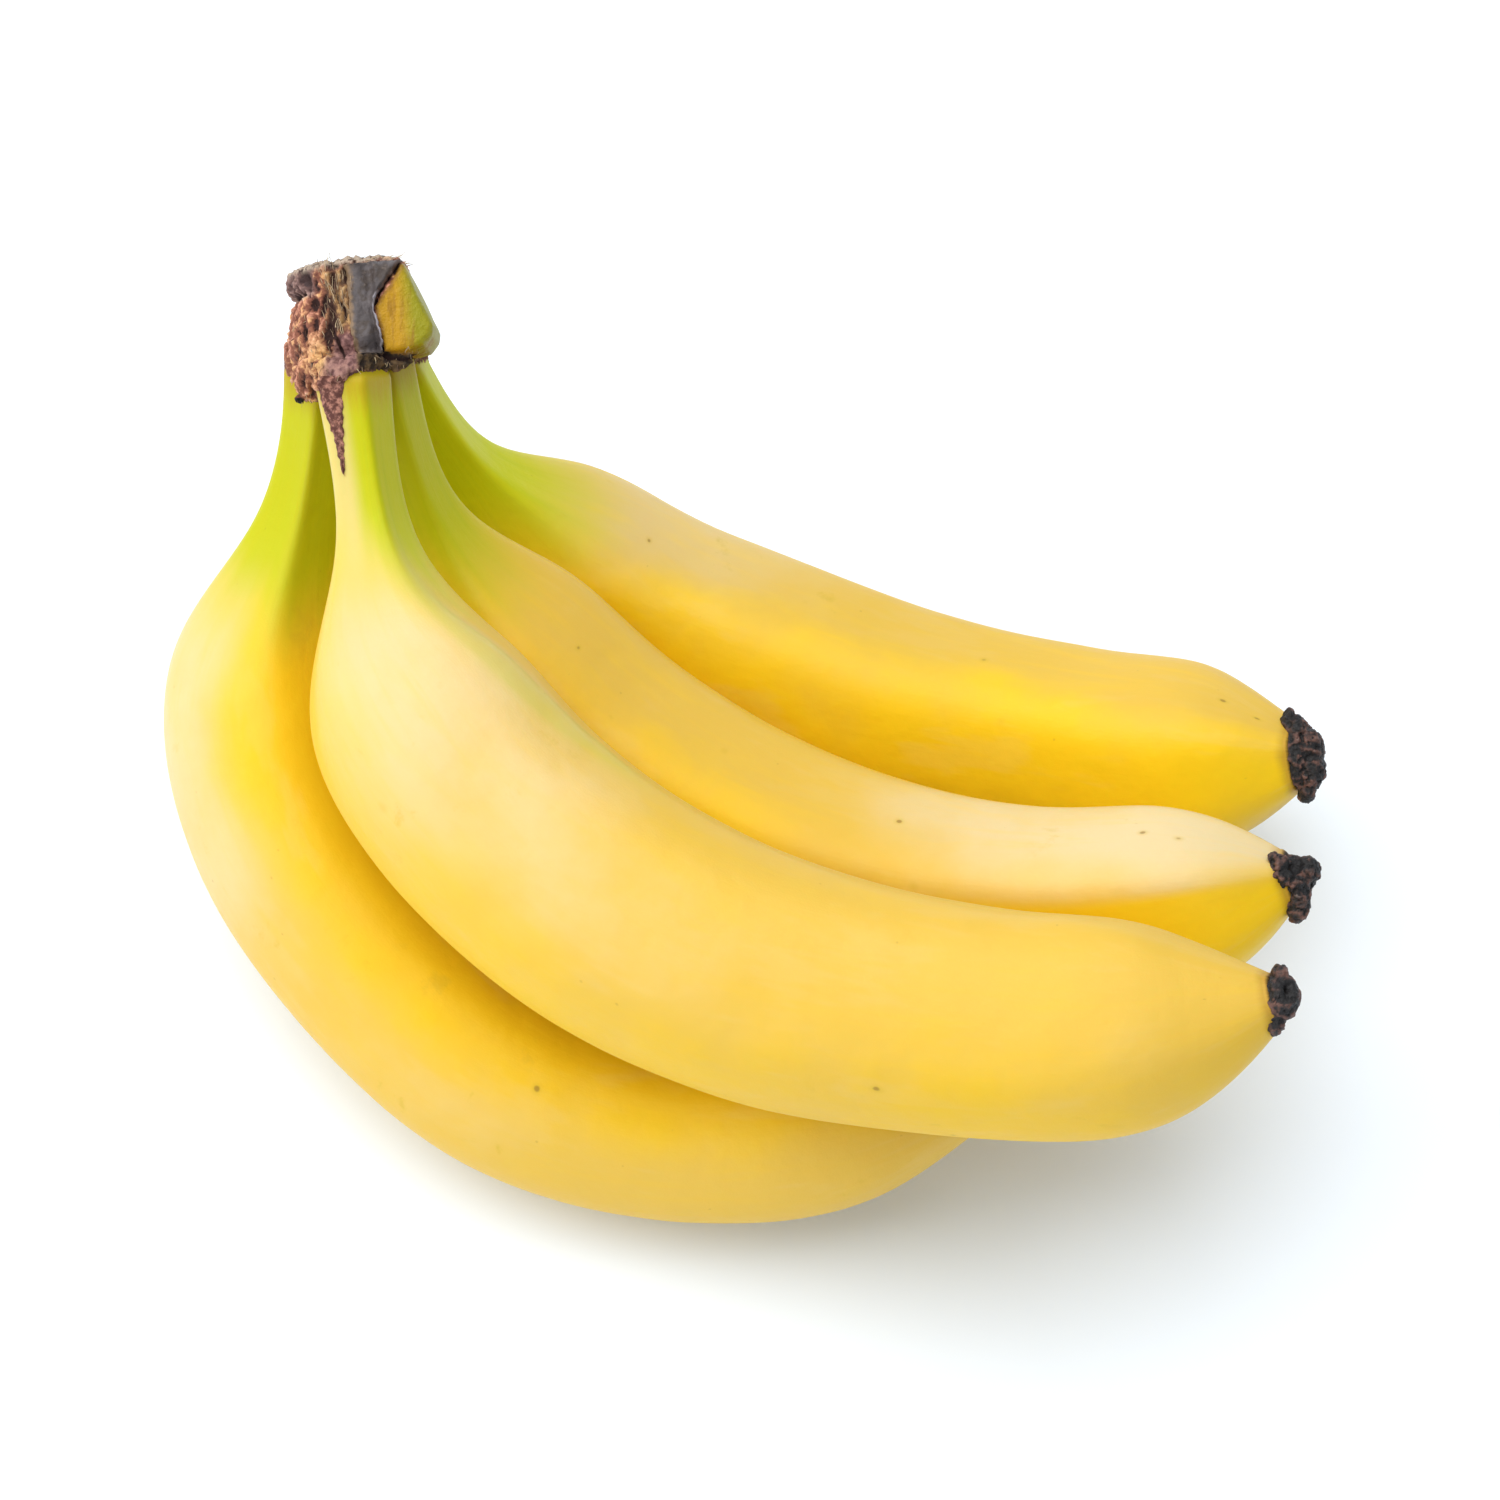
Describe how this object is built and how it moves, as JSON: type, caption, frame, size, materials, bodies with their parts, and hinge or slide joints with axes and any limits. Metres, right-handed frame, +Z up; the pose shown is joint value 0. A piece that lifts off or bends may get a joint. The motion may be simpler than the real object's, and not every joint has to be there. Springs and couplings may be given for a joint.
{
  "type": "banana bunch",
  "caption": "Cut bunch of ripe curved bananas joined at one short corky crown, with dried dark tips, lying on its outer curve.",
  "frame": {"origin": "on the surface the bunch lies on, under the middle of its bounding box", "axes": "+X from the crown towards the dried tips, +Y from the fruit with its belly in front to the fruit behind, +Z up from the surface"},
  "size_m": [0.1826, 0.1373, 0.0963],
  "materials": {
    "peel": "smooth waxy banana peel, ripe yellow, green towards the crown",
    "crown": "dry corky brown cut crown with a rough, cracked surface",
    "tip": "dried, almost black flower end, matte and wrinkled"
  },
  "bodies": {
    "root": {"crown": "crown", "banana_left": "peel", "banana_front": "peel", "banana_middle": "peel", "banana_back": "peel", "tip_left": "tip", "tip_front": "tip", "tip_middle": "tip", "tip_back": "tip"}
  },
  "joints": []
}
